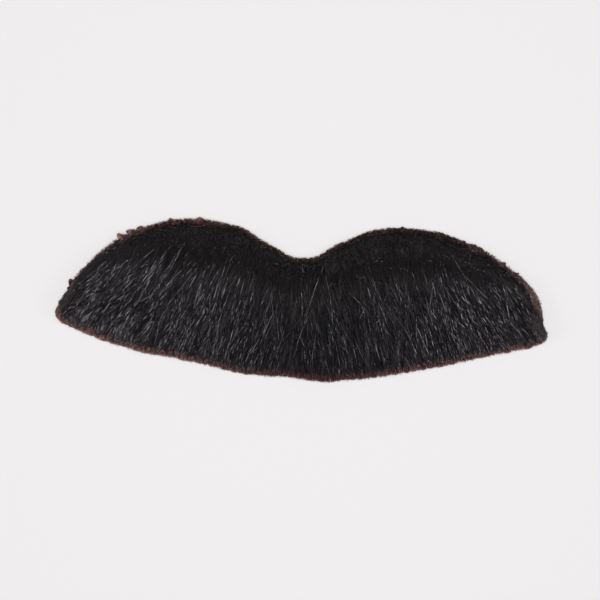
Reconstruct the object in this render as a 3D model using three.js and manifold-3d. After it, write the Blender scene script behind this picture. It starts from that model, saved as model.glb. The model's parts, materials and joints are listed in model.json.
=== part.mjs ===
// A stick-on fake moustache of black synthetic fur, lying on its adhesive back, face up.
// Millimetres, +X along the span, +Y towards the nose, +Z out of the hair. The origin is in
// the middle of the adhesive pad's underside, which is the face that goes on the upper lip.
import * as THREE from "three";
import { mergeVertices } from "three/addons/utils/BufferGeometryUtils.js";
import Module from "manifold-3d";

const wasm = await Module();
wasm.setup();

// Overall sizes, and the share of the height that lies below the origin
const span = 110;
const height = 35;
const originShare = 0.45;

// Adhesive pad
const padThickness = 0.6;
const padCrownInset = 3.4;
const padHemInset = 6.5;
const padEndInset = 8;

// Base cloth, and the clearance at which it lies on the pad
const clothSeat = 0.1;
const clothThickness = 1.2;
const clothCrownInset = 0.4;
const clothHemInset = 5;
const clothEndInset = 2;
const knotRadius = 0.7;
const knotReach = 0.25;

// Fur pile, and its clearance to the cloth under it
const pileSeat = 0.3;
const pileHeight = 8.5;
const pileCrownInset = 0.9;
const pileHemInset = 2.2;
const pileEndInset = 1.2;
const floorClearance = 0.35;
const endThinShare = 0.6;
const fanDegrees = 42;

// Locks of hair that stand out of the pile. A root sinks by a share of the lock's thickness.
const lockSpacing = 3.9;
const lockWidth = 4.4;
const lockThickness = 2;
const lockLength = 15;
const lockScatter = 1.1;
const rootSinkShare = 0.3;

// How much the locks differ: shares of the space between them and of their length, and degrees
const placeShare = 0.4;
const lengthShare = 0.3;
const bendShare = 0.16;
const leanDegrees = 9;

const clothBottom = padThickness + clothSeat;
const clothTop = clothBottom + clothThickness;
const pileBottom = clothTop + pileSeat;
const halfSpan = span / 2;

// How many sections the outline and the pile have, and how far they crowd to the ends
const outlineStations = 49;
const pileStations = 25;
const endCrowdShare = 0.35;

// The outline by sections from the middle outwards. Out is a share of the half span, and the
// left and right side of the crown and of the hem are shares of the height above the lowest tip.
const outline = [
  { out: 0.0, crownLeft: 0.783, crownRight: 0.783, hemLeft: 0.012, hemRight: 0.012 },
  { out: 0.05, crownLeft: 0.786, crownRight: 0.797, hemLeft: 0.02, hemRight: 0.006 },
  { out: 0.12, crownLeft: 0.844, crownRight: 0.871, hemLeft: 0.018, hemRight: 0.0 },
  { out: 0.18, crownLeft: 0.889, crownRight: 0.914, hemLeft: 0.024, hemRight: 0.014 },
  { out: 0.25, crownLeft: 0.953, crownRight: 0.966, hemLeft: 0.034, hemRight: 0.026 },
  { out: 0.33, crownLeft: 0.982, crownRight: 0.995, hemLeft: 0.058, hemRight: 0.046 },
  { out: 0.42, crownLeft: 1.0, crownRight: 1.0, hemLeft: 0.083, hemRight: 0.078 },
  { out: 0.54, crownLeft: 0.987, crownRight: 0.984, hemLeft: 0.115, hemRight: 0.119 },
  { out: 0.64, crownLeft: 0.942, crownRight: 0.936, hemLeft: 0.135, hemRight: 0.158 },
  { out: 0.73, crownLeft: 0.885, crownRight: 0.88, hemLeft: 0.168, hemRight: 0.196 },
  { out: 0.8, crownLeft: 0.803, crownRight: 0.812, hemLeft: 0.198, hemRight: 0.221 },
  { out: 0.87, crownLeft: 0.7, crownRight: 0.735, hemLeft: 0.238, hemRight: 0.25 },
  { out: 0.93, crownLeft: 0.586, crownRight: 0.65, hemLeft: 0.27, hemRight: 0.272 },
  { out: 0.97, crownLeft: 0.475, crownRight: 0.54, hemLeft: 0.3, hemRight: 0.3 },
  { out: 0.978, crownLeft: 0.452, crownRight: 0.425, hemLeft: 0.307, hemRight: 0.306 },
  { out: 0.985, crownLeft: 0.43, crownRight: 0.402, hemLeft: 0.314, hemRight: 0.311 },
  { out: 1.0, crownLeft: 0.395, crownRight: 0.38, hemLeft: 0.334, hemRight: 0.325 },
];

// The pile's height from the hem, at 0, to the crown, at 1, as shares of pileHeight.
const pileProfile = [
  { up: 0.0, rise: 0.1 },
  { up: 0.08, rise: 0.32 },
  { up: 0.22, rise: 0.6 },
  { up: 0.4, rise: 0.84 },
  { up: 0.62, rise: 1.0 },
  { up: 0.8, rise: 0.97 },
  { up: 0.93, rise: 0.66 },
  { up: 1.0, rise: 0.12 },
];

// Rows of locks, from the hem up. Tip is the share of the way up where the row's tips lie,
// reach the share of the half span that they reach, level the share of the pile's height that
// they lie at, and length, width and lift are shares of a lock's own sizes.
const lockRows = [
  { tip: 0.01, reach: 0.99, level: 0.15, length: 0.4, width: 1.0, lift: 0.0 },
  { tip: 0.0, reach: 1.0, level: 0.95, length: 0.85, width: 1.0, lift: 0.3 },
  { tip: 0.17, reach: 0.98, level: 1.0, length: 0.85, width: 1.1, lift: 0.4 },
  { tip: 0.4, reach: 0.96, level: 1.0, length: 0.8, width: 1.15, lift: 0.4 },
  { tip: 0.63, reach: 0.92, level: 1.0, length: 0.6, width: 1.1, lift: 0.4 },
  { tip: 0.84, reach: 0.86, level: 1.0, length: 0.35, width: 1.0, lift: 0.2 },
];

// A lock's width and thickness along it, from root to tip, as shares of the full ones.
const lockProfile = [
  { along: 0.0, width: 0.5, thickness: 0.6 },
  { along: 0.35, width: 1.0, thickness: 1.0 },
  { along: 0.75, width: 0.8, thickness: 0.9 },
  { along: 1.0, width: 0.28, thickness: 0.3 },
];

// A lock's flat-topped section, as shares of its half width and half thickness.
const lockSection = [
  { across: -1.0, up: -0.3 },
  { across: 1.0, up: -0.3 },
  { across: 0.4, up: 1.0 },
  { across: -0.4, up: 1.0 },
];

// Knots of yarn on the cloth's cut edge. Out is a share of the half span, and size a share
// of the knot's radius.
const edgeKnots = [
  { side: -1, out: 0.937, size: 1.1 },
  { side: -1, out: 0.746, size: 1.0 },
  { side: -1, out: 0.707, size: 0.9 },
  { side: -1, out: 0.667, size: 1.1 },
  { side: -1, out: 0.538, size: 1.0 },
  { side: -1, out: 0.429, size: 1.15 },
  { side: 1, out: 0.4, size: 0.7 },
  { side: 1, out: 0.548, size: 0.8 },
  { side: 1, out: 0.68, size: 1.1 },
  { side: 1, out: 0.709, size: 0.9 },
  { side: 1, out: 0.797, size: 1.1 },
  { side: 1, out: 0.86, size: 1.2 },
];

// Reads a column of a table at a share between its rows, on a smooth curve through them.
function readTable(table, key, share, column) {
  const last = table.length - 1;
  const found = table.findIndex((row) => row[key] >= share);
  const after = found < 0 ? last : Math.max(1, found);
  const slopeAt = (row) => {
    const low = table[Math.max(0, row - 1)];
    const high = table[Math.min(last, row + 1)];
    return (high[column] - low[column]) / (high[key] - low[key]);
  };
  const start = table[after - 1];
  const end = table[after];
  const step = end[key] - start[key];
  const t = THREE.MathUtils.clamp((share - start[key]) / step, 0, 1);
  const ease = t * t * (3 - 2 * t);
  return (
    THREE.MathUtils.lerp(start[column], end[column], ease) +
    step * slopeAt(after - 1) * t * (1 - t) * (1 - t) -
    step * slopeAt(after) * t * t * (1 - t)
  );
}

const shareToY = (share) => (share - originShare) * height;

function outlineY(x, leftColumn, rightColumn) {
  const column = x < 0 ? leftColumn : rightColumn;
  return shareToY(readTable(outline, "out", Math.abs(x) / halfSpan, column));
}

const crownY = (x) => outlineY(x, "crownLeft", "crownRight");
const hemY = (x) => outlineY(x, "hemLeft", "hemRight");

// How far up from the hem a point lies, from 0 at the hem to 1 at the crown.
function upAt(x, y) {
  return (y - hemY(x)) / (crownY(x) - hemY(x));
}

function pileTopZ(x, y) {
  const up = THREE.MathUtils.clamp(upAt(x, y), 0, 1);
  const thinned = 1 - endThinShare * (Math.abs(x) / halfSpan) ** 6;
  return pileBottom + readTable(pileProfile, "up", up, "rise") * pileHeight * thinned;
}

// A number from -0.5 to 0.5 that looks random and is the same each time.
function scatter(first, second) {
  const wave = Math.sin(first * 12.9898 + second * 78.233) * 43758.5453;
  return wave - Math.floor(wave) - 0.5;
}

// Places along the span, closer together towards its ends.
function stations(count, reach) {
  return Array.from({ length: count }, (_, i) => {
    const share = (2 * i) / (count - 1) - 1;
    const crowded = Math.sin((share * Math.PI) / 2);
    return reach * THREE.MathUtils.lerp(share, crowded, endCrowdShare);
  });
}

// The moustache's outline, moved in by a distance at the crown, the hem and the ends.
function outlineShape({ crownInset, hemInset, endInset }) {
  const across = stations(outlineStations, halfSpan - endInset);
  const crown = across.map((x) => new THREE.Vector2(x, crownY(x) - crownInset));
  const hem = across.map((x) => new THREE.Vector2(x, hemY(x) + hemInset));
  return new THREE.Shape([...hem, ...crown.reverse()]);
}

// A plate of that outline, from one height to another.
function plate(shape, bottom, top) {
  const geometry = new THREE.ExtrudeGeometry(shape, { depth: top - bottom, bevelEnabled: false });
  return geometry.translate(0, 0, bottom);
}

// A closed surface through rings that each have the same number of points.
function loft(rings) {
  const around = rings[0].length;
  const positions = rings.flat().flatMap((point) => [point.x, point.y, point.z]);
  const faces = [];
  for (let ring = 0; ring + 1 < rings.length; ring++) {
    for (let i = 0; i < around; i++) {
      const a = ring * around + i;
      const b = ring * around + ((i + 1) % around);
      faces.push(a, b, b + around, a, b + around, a + around);
    }
  }
  const end = (rings.length - 1) * around;
  for (let i = 1; i + 1 < around; i++) {
    faces.push(0, i + 1, i);
    faces.push(end, end + i, end + i + 1);
  }
  const geometry = new THREE.BufferGeometry();
  geometry.setAttribute("position", new THREE.Float32BufferAttribute(positions, 3));
  geometry.setIndex(faces);
  return geometry;
}

function toSolid(geometry) {
  const bare = geometry.clone();
  bare.deleteAttribute("normal");
  bare.deleteAttribute("uv");
  const merged = mergeVertices(bare, 1e-4);
  const mesh = new wasm.Mesh({
    numProp: 3,
    vertProperties: merged.attributes.position.array,
    triVerts: new Uint32Array(merged.index.array),
  });
  return new wasm.Manifold(mesh);
}

function toGeometry(solid) {
  const { vertProperties, triVerts } = solid.getMesh();
  const geometry = new THREE.BufferGeometry();
  geometry.setAttribute("position", new THREE.BufferAttribute(vertProperties, 3));
  geometry.setIndex(new THREE.BufferAttribute(triVerts, 1));
  geometry.computeVertexNormals();
  return geometry;
}

// Keeps a geometry's largest closed surface, without the tiny bubbles where locks cross.
function outerSurface(geometry) {
  const corners = geometry.index.array;
  const group = Array.from({ length: geometry.attributes.position.count }, (_, i) => i);
  const leader = (vertex) => {
    while (group[vertex] !== vertex) {
      group[vertex] = group[group[vertex]];
      vertex = group[vertex];
    }
    return vertex;
  };
  corners.forEach((vertex, i) => {
    group[leader(vertex)] = leader(corners[i - (i % 3)]);
  });
  const faceCounts = new Map();
  corners.forEach((vertex) => {
    faceCounts.set(leader(vertex), (faceCounts.get(leader(vertex)) ?? 0) + 1);
  });
  const [largest] = [...faceCounts].sort((a, b) => b[1] - a[1])[0];
  geometry.setIndex([...corners].filter((vertex) => leader(vertex) === largest));
  return geometry;
}

// The dense body of the pile, without its locks: a loft of domed sections across the span.
function pileBody() {
  const downs = pileProfile.map(({ up }) => 1 - up).reverse();
  const rings = stations(pileStations, halfSpan - pileEndInset).map((x) => {
    const localHeight = crownY(x) - hemY(x);
    const hem = hemY(x) + Math.min(pileHemInset, localHeight / 4);
    const crown = crownY(x) - pileCrownInset;
    const domed = downs.map((down) => {
      const y = THREE.MathUtils.lerp(crown, hem, down);
      return new THREE.Vector3(x, y, pileTopZ(x, y));
    });
    return [
      new THREE.Vector3(x, hem, floorClearance),
      new THREE.Vector3(x, crown, floorClearance),
      ...domed,
    ];
  });
  return loft(rings);
}

// How long a lock can be before its root comes out of the pile at the crown.
function rootRoom(tip, way, length) {
  const rootX = tip.x - way.x * length;
  return (crownY(rootX) - pileCrownInset - tip.y) / -way.y;
}

// One lock of hair, from its root inside the pile to its free tip. Its four-sided sections
// stand across the way that the hair lies.
function lock(tip, lean, slimness, row, index) {
  const way = new THREE.Vector2(Math.sin(lean), -Math.cos(lean));
  const side = new THREE.Vector3(-way.y, way.x, 0);
  const wanted = lockLength * row.length * (1 + lengthShare * scatter(index, 3));
  const length = Math.max(wanted / 3, Math.min(wanted, rootRoom(tip, way, wanted)));
  const bend = bendShare * length * scatter(index, 4);
  const rings = lockProfile.map(({ along, width, thickness }) => {
    const back = (1 - along) * length;
    const bow = bend * Math.sin(along * Math.PI);
    const x = tip.x - way.x * back + side.x * bow;
    const y = tip.y - way.y * back + side.y * bow;
    const raised = (along * row.lift - rootSinkShare) * lockThickness;
    const lying = floorClearance + (pileTopZ(x, y) - floorClearance) * row.level + raised;
    const z = Math.max(floorClearance + lockThickness / 2, lying);
    const halfWidth = (lockWidth * row.width * slimness * width) / 2;
    const halfThick = (lockThickness * thickness) / 2;
    return lockSection.map(({ across, up }) =>
      new THREE.Vector3(x, y, z + up * halfThick).addScaledVector(side, across * halfWidth),
    );
  });
  return loft(rings);
}

// The locks of one row. They fan out from the middle, with their tips on the row's line, and
// are slimmer where the moustache is lower, towards its ends.
function locksOf(row, rowIndex) {
  const gaps = Math.round(span / (lockSpacing * row.width)) - 1;
  const stagger = rowIndex % 2 ? 0 : 0.5;
  const count = gaps + 1 - 2 * stagger;
  return Array.from({ length: count }, (_, i) => {
    const index = rowIndex * 100 + i;
    const atEnd = i === 0 || i + 1 === count;
    const shift = atEnd ? 0 : placeShare * scatter(index, 1);
    const share = (2 * (i + stagger + shift)) / gaps - 1;
    const x = share * row.reach * halfSpan;
    const hem = hemY(x);
    const localHeight = crownY(x) - hem;
    const slimness = Math.sqrt(localHeight / height);
    const drop = lockScatter * slimness * scatter(index, 2);
    const y = hem + localHeight * row.tip + (row.tip > 0.1 ? 2 * drop : Math.abs(drop));
    const lean = THREE.MathUtils.degToRad(fanDegrees * share + leanDegrees * scatter(index, 5));
    return lock(new THREE.Vector2(x, y), lean, slimness, row, index);
  });
}

function knot({ side, out, size }) {
  const x = side * out * halfSpan;
  const radius = knotRadius * size;
  const geometry = new THREE.SphereGeometry(radius, 7, 5);
  geometry.scale(1, 1, clothThickness / (2 * radius));
  return geometry.translate(x, crownY(x) - radius + knotReach, clothBottom + clothThickness / 2);
}

const clothInsets = {
  crownInset: clothCrownInset,
  hemInset: clothHemInset,
  endInset: clothEndInset,
};

function baseCloth() {
  const cloth = toSolid(plate(outlineShape(clothInsets), clothBottom, clothTop));
  const knotted = edgeKnots.reduce((solid, each) => solid.add(toSolid(knot(each))), cloth);
  return toGeometry(knotted);
}

// What the cloth takes out of the pile: its own room, with the pile's clearance on top of it
// and along its hem and ends, and open at the crown.
function clothRoom() {
  const room = outlineShape({
    crownInset: -pileHeight,
    hemInset: clothHemInset - pileSeat,
    endInset: clothEndInset - pileSeat,
  });
  return toSolid(plate(room, -padThickness, pileBottom));
}

function furPile() {
  const locks = lockRows.flatMap((row, rowIndex) => locksOf(row, rowIndex));
  const fused = locks.reduce((solid, each) => solid.add(toSolid(each)), toSolid(pileBody()));
  return outerSurface(toGeometry(fused.subtract(clothRoom())));
}

function adhesivePad() {
  const pad = outlineShape({
    crownInset: padCrownInset,
    hemInset: padHemInset,
    endInset: padEndInset,
  });
  return plate(pad, 0, padThickness);
}

function named(name, geometry, material) {
  const mesh = new THREE.Mesh(geometry, new THREE.MeshStandardMaterial(material));
  mesh.name = name;
  return mesh;
}

const moustache = new THREE.Group();
moustache.name = "fake_moustache";
moustache.add(
  named("fur_pile", furPile(), { color: 0x1a181b, roughness: 0.45, metalness: 0 }),
  named("base_cloth", baseCloth(), { color: 0x3a2622, roughness: 0.95, metalness: 0 }),
  named("adhesive_pad", adhesivePad(), { color: 0xe9e4d8, roughness: 0.7, metalness: 0 }),
);

export default moustache;
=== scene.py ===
"""Looks of a stick-on fake moustache of black synthetic fur, lying face up on its adhesive back.

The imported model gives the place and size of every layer. The fur's strands are grown as closed
tapered tubes over a dense dark bed, the base cloth is a knitted sheet with yarn knots along its
cut edge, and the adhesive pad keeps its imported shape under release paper.
"""

from __future__ import annotations

import json
import logging
import math
from dataclasses import dataclass, field
from enum import Enum

import bpy
import numpy as np
from mathutils import Euler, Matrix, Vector
from mathutils.kdtree import KDTree

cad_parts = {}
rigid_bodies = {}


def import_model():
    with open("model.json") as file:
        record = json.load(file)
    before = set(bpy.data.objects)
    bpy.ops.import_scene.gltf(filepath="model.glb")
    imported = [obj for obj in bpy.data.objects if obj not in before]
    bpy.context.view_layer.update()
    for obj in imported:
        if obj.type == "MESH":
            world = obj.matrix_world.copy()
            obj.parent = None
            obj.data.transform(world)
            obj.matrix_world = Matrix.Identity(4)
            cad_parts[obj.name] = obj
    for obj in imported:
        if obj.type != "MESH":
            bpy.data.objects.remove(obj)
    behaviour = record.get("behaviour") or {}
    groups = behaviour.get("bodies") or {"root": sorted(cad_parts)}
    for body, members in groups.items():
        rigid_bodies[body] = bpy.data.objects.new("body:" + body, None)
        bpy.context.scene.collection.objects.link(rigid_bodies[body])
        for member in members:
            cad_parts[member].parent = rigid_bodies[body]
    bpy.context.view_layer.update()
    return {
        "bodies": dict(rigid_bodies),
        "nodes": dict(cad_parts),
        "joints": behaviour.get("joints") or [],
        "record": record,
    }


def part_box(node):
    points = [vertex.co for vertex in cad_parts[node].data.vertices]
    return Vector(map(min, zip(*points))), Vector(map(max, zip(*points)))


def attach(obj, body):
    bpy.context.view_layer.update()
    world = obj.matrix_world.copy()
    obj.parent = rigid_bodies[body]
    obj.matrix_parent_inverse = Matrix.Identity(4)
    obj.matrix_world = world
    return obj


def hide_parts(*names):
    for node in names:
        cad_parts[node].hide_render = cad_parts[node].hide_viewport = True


MM = 0.001
SEED = 20
BODY = "root"
UV_MAP = "OFBake"
VECTOR = "NodeSocketVector"
NUMBER = "NodeSocketFloat"

Colour = tuple[float, float, float]
Stops = tuple[tuple[float, Colour], ...]

END_CROWDING = 0.35
CREASE_ANGLE = math.radians(50)

PHOTO_PIXELS = 600
MM_PER_PIXEL = 0.224
ORIGIN_PIXEL = (302.0, 309.9)
PHOTO_TILT = math.radians(2.6)

log = logging.getLogger("moustache")


class Node(str, Enum):
    """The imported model's nodes."""

    FUR = "fur_pile"
    CLOTH = "base_cloth"
    PAD = "adhesive_pad"


class Slot(str, Enum):
    """The record's material slots."""

    FUR = "black_fur"
    CLOTH = "brown_knit_cloth"
    PAPER = "release_paper"


class Side(Enum):
    """Which part of the span a piece of the coat covers."""

    LEFT = (-1.0, -0.34)
    MIDDLE = (-0.34, 0.34)
    RIGHT = (0.34, 1.0)


class Tint(Enum):
    """Bands of the strands' own UV map, each with a colour of its own from root to tip."""

    BLACK = (0.00, 0.20)
    DARK = (0.20, 0.35)
    # Near-black hair painted lighter near the crown, as painted light against the shade among end-on
    # strands.
    COAL = (0.35, 0.40)
    # Dim painted glints.
    SOOT = (0.40, 0.45)
    # This band and the next are painted highlights.
    GREY = (0.45, 0.58)
    PALE = (0.58, 0.66)
    # Tips painted brown for the light shining through the cut ends.
    BROWN_TIP = (0.66, 0.88)
    BROWN = (0.88, 1.00)


def smooth_table(keys: np.ndarray, values: np.ndarray, at: np.ndarray) -> np.ndarray:
    """Reads a table on a smooth curve through its rows.

    Args:
        keys: The rows' places, rising.
        values: The rows' values.
        at: The places to read, held within the rows'.

    Returns:
        One value for each place.
    """
    slopes = np.gradient(values)
    slopes[1:-1] = (values[2:] - values[:-2]) / (keys[2:] - keys[:-2])
    slopes[0] = (values[1] - values[0]) / (keys[1] - keys[0])
    slopes[-1] = (values[-1] - values[-2]) / (keys[-1] - keys[-2])
    after = np.clip(np.searchsorted(keys, at), 1, len(keys) - 1)
    step = keys[after] - keys[after - 1]
    t = np.clip((at - keys[after - 1]) / step, 0.0, 1.0)
    ease = t * t * (3.0 - 2.0 * t)
    line = values[after - 1] + (values[after] - values[after - 1]) * ease
    swing = slopes[after - 1] * t * (1.0 - t) ** 2 - slopes[after] * t * t * (1.0 - t)
    return line + step * swing


@dataclass(frozen=True)
class Station:
    """One section of the outline, as shares of the half span and of the height."""

    out: float
    crown_left: float
    crown_right: float
    hem_left: float
    hem_right: float


@dataclass(frozen=True)
class Rise:
    """The pile's height at a share of the way up from the hem to the crown."""

    up: float
    rise: float


OUTLINE = (
    Station(0.0, 0.783, 0.783, 0.012, 0.012),
    Station(0.05, 0.786, 0.797, 0.02, 0.006),
    Station(0.12, 0.844, 0.871, 0.018, 0.0),
    Station(0.18, 0.889, 0.914, 0.024, 0.014),
    Station(0.25, 0.953, 0.966, 0.034, 0.026),
    Station(0.33, 0.982, 0.995, 0.058, 0.046),
    Station(0.42, 1.0, 1.0, 0.083, 0.078),
    Station(0.54, 0.987, 0.984, 0.115, 0.119),
    Station(0.64, 0.942, 0.936, 0.135, 0.158),
    Station(0.73, 0.885, 0.88, 0.168, 0.196),
    Station(0.8, 0.803, 0.812, 0.198, 0.221),
    Station(0.87, 0.7, 0.735, 0.238, 0.25),
    Station(0.93, 0.586, 0.65, 0.27, 0.272),
    Station(0.97, 0.475, 0.54, 0.3, 0.3),
    Station(0.978, 0.452, 0.425, 0.307, 0.306),
    Station(0.985, 0.43, 0.402, 0.314, 0.311),
    Station(1.0, 0.395, 0.38, 0.334, 0.325),
)

PILE_PROFILE = (
    Rise(0.0, 0.1),
    Rise(0.08, 0.32),
    Rise(0.22, 0.6),
    Rise(0.4, 0.84),
    Rise(0.62, 1.0),
    Rise(0.8, 0.97),
    Rise(0.93, 0.66),
    Rise(1.0, 0.12),
)


@dataclass(frozen=True)
class Stretch:
    """How the fur is at one place across, a share of the half span.

    The lean is in degrees to the right of straight down, and the rim is the depth of bare cloth
    edge at the crown. The hair lies flat up to the share of the way from hem to crown in lying.
    Shine is the share of it given paler tints as painted highlights, and warmth the UV column of its
    brown tips, painted for the light that shines through them. Wear is how pale the frayed edge of
    the cloth is.
    """

    across: float
    lean: float
    rim: float
    lying: float
    shine: float
    warmth: float
    wear: float


SPAN = (
    Stretch(-1.0, -38.0, 0.6 * MM, 0.95, 1.35, 0.87, 1.4),
    Stretch(-0.85, -37.0, 0.6 * MM, 0.8, 1.25, 0.868, 1.8),
    Stretch(-0.72, -36.0, 0.5 * MM, 0.7, 0.92, 0.865, 0.75),
    Stretch(-0.58, -27.0, 0.35 * MM, 0.66, 0.74, 0.86, 0.45),
    Stretch(-0.42, -20.0, 0.45 * MM, 0.53, 0.72, 0.82, 0.32),
    Stretch(-0.25, -16.5, 0.35 * MM, 0.5, 0.54, 0.78, 0.25),
    Stretch(-0.1, -8.5, 0.3 * MM, 0.51, 0.2, 0.745, 0.25),
    Stretch(0.07, 6.0, 0.3 * MM, 0.52, 0.12, 0.73, 0.25),
    Stretch(0.24, 15.0, 0.1 * MM, 0.56, 0.19, 0.735, 0.2),
    Stretch(0.4, 19.5, 0.1 * MM, 0.52, 0.4, 0.785, 0.2),
    Stretch(0.56, 21.5, 0.15 * MM, 0.48, 0.54, 0.79, 0.25),
    Stretch(0.72, 30.0, 0.3 * MM, 0.59, 0.66, 0.8, 0.65),
    Stretch(0.88, 36.0, 0.8 * MM, 0.8, 0.7, 0.82, 1.45),
    Stretch(0.93, 37.0, 2.5 * MM, 0.84, 0.66, 0.8, 2.0),
    Stretch(0.965, 38.0, 3.0 * MM, 0.88, 0.66, 0.8, 1.8),
    Stretch(0.98, 39.0, 0.3 * MM, 0.92, 0.8, 0.8, 1.0),
    Stretch(1.0, 40.0, 0.2 * MM, 0.95, 0.8, 0.8, 1.0),
)


@dataclass(frozen=True)
class Knot:
    """A knot of yarn at the cut edge: the side, how far out as a share, its size and colour."""

    side: int
    out: float
    size: float
    pale: bool


EDGE_KNOTS = (
    Knot(-1, 0.937, 1.0, False),
    Knot(-1, 0.746, 0.9, True),
    Knot(-1, 0.707, 0.85, True),
    Knot(-1, 0.667, 0.95, True),
    Knot(-1, 0.538, 0.95, True),
    Knot(-1, 0.429, 1.0, True),
    Knot(1, 0.4, 0.7, False),
    Knot(1, 0.548, 0.8, False),
    Knot(1, 0.68, 1.1, False),
    Knot(1, 0.709, 0.9, False),
    Knot(1, 0.797, 0.8, False),
    Knot(1, 0.86, 0.7, False),
)


@dataclass
class Form:
    """The moustache's outline and the surface of its pile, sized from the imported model."""

    half_span: float
    height: float
    pile_bottom: float
    pile_height: float
    floor_gap: float
    origin_share: float = 0.45
    end_thinning: float = 0.6
    end_power: int = 6
    fan: float = math.radians(42.0)
    hem_lean: float = 0.85
    lean_gain: float = 0.5
    calm: tuple[float, float] = (-0.38, 0.6)
    worn: tuple[float, float] = (0.87, 0.975)
    hem_slack: float = 0.5 * MM
    knot_clearing: float = 1.0 * MM
    knot_depth: float = 1.15 * MM

    @classmethod
    def from_frame(cls) -> Form:
        """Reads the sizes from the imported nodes' boxes.

        Returns:
            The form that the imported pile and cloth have.
        """
        lowest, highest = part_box(Node.FUR.value)
        _, cloth_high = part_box(Node.CLOTH.value)
        seat = 0.3 * MM
        lock_lift = 0.75 * MM
        bottom = cloth_high[2] + seat
        return cls(
            half_span=(highest[0] - lowest[0]) / 2,
            height=cloth_high[1] - lowest[1],
            pile_bottom=bottom,
            pile_height=highest[2] - bottom - lock_lift,
            floor_gap=lowest[2],
        )

    def _edge(self, x: np.ndarray, edge: str) -> np.ndarray:
        """Reads the outline's table for one edge as heights along Y, each side from its column."""
        x = np.asarray(x, float)
        keys = np.array([row.out for row in OUTLINE])
        out = np.abs(x) / self.half_span
        left = smooth_table(keys, np.array([getattr(row, f"{edge}_left") for row in OUTLINE]), out)
        right = smooth_table(keys, np.array([getattr(row, f"{edge}_right") for row in OUTLINE]), out)
        return (np.where(x < 0, left, right) - self.origin_share) * self.height

    def hem(self, x: np.ndarray) -> np.ndarray:
        """Returns the hem's Y at each X."""
        return self._edge(x, "hem")

    def crown(self, x: np.ndarray) -> np.ndarray:
        """Returns the crown's Y at each X."""
        return self._edge(x, "crown")

    def up(self, x: np.ndarray, y: np.ndarray) -> np.ndarray:
        """Returns how far up each point lies, from 0 at the hem to 1 at the crown."""
        hem = self.hem(x)
        return np.clip((y - hem) / (self.crown(x) - hem), 0.0, 1.0)

    def rise(self, x: np.ndarray, y: np.ndarray) -> np.ndarray:
        """Returns the pile's height above its bottom at each point."""
        keys = np.array([row.up for row in PILE_PROFILE])
        values = np.array([row.rise for row in PILE_PROFILE])
        out = np.abs(np.clip(x / self.half_span, -1, 1))
        thinned = 1.0 - self.end_thinning * out**self.end_power
        return smooth_table(keys, values, self.up(x, y)) * self.pile_height * thinned

    def top(self, x: np.ndarray, y: np.ndarray) -> np.ndarray:
        """Returns the Z of the pile's surface at each point."""
        return self.pile_bottom + self.rise(x, y)

    def at(self, x: np.ndarray, column: str) -> np.ndarray:
        """Reads a column of the span's table at each X."""
        places = np.array([stretch.across for stretch in SPAN])
        values = np.array([getattr(stretch, column) for stretch in SPAN])
        return smooth_table(places, values, np.clip(x / self.half_span, -1.0, 1.0))

    def lean(self, x: np.ndarray, y: np.ndarray) -> np.ndarray:
        """Returns how far the hair leans to the right of straight down, in radians."""
        grown = self.hem_lean + self.lean_gain * self.up(x, y)
        return np.radians(self.at(x, "lean")) * grown

    def line(self, x: np.ndarray, y: np.ndarray) -> np.ndarray:
        """Returns a number that stays the same along the hair's flow, in metres."""
        return x * np.exp(y * self.fan / self.half_span)

    def rim(self, x: np.ndarray) -> np.ndarray:
        """Returns how deep the bare edge of the cloth is at each X, deeper round the knots."""
        depth = self.at(x, "rim")
        for knot in EDGE_KNOTS:
            away = (x - knot.side * knot.out * self.half_span) / (self.knot_clearing * knot.size)
            depth = np.maximum(depth, self.knot_depth * knot.size * np.exp(-(away**4)))
        return depth

    def is_calm(self, x: np.ndarray) -> np.ndarray:
        """Returns whether the cloth's edge at each X is smooth, with little yarn to see."""
        return self._within(x, self.calm)

    def is_worn(self, x: np.ndarray) -> np.ndarray:
        """Returns whether the cloth's edge at each X is worn to a pale fray."""
        return self._within(x, self.worn)

    def _within(self, x: np.ndarray, shares: tuple[float, float]) -> np.ndarray:
        """Returns whether each X lies between two shares of the half span."""
        return (x / self.half_span > shares[0]) & (x / self.half_span < shares[1])

    def holds(self, x: np.ndarray, y: np.ndarray) -> np.ndarray:
        """Returns whether each point is inside the outline and clear of the crown's rim."""
        hem = self.hem(x) - self.hem_slack
        crown = self.crown(x) - self.rim(x)
        return (np.abs(x) <= self.half_span) & (y >= hem) & (y <= crown)


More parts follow.
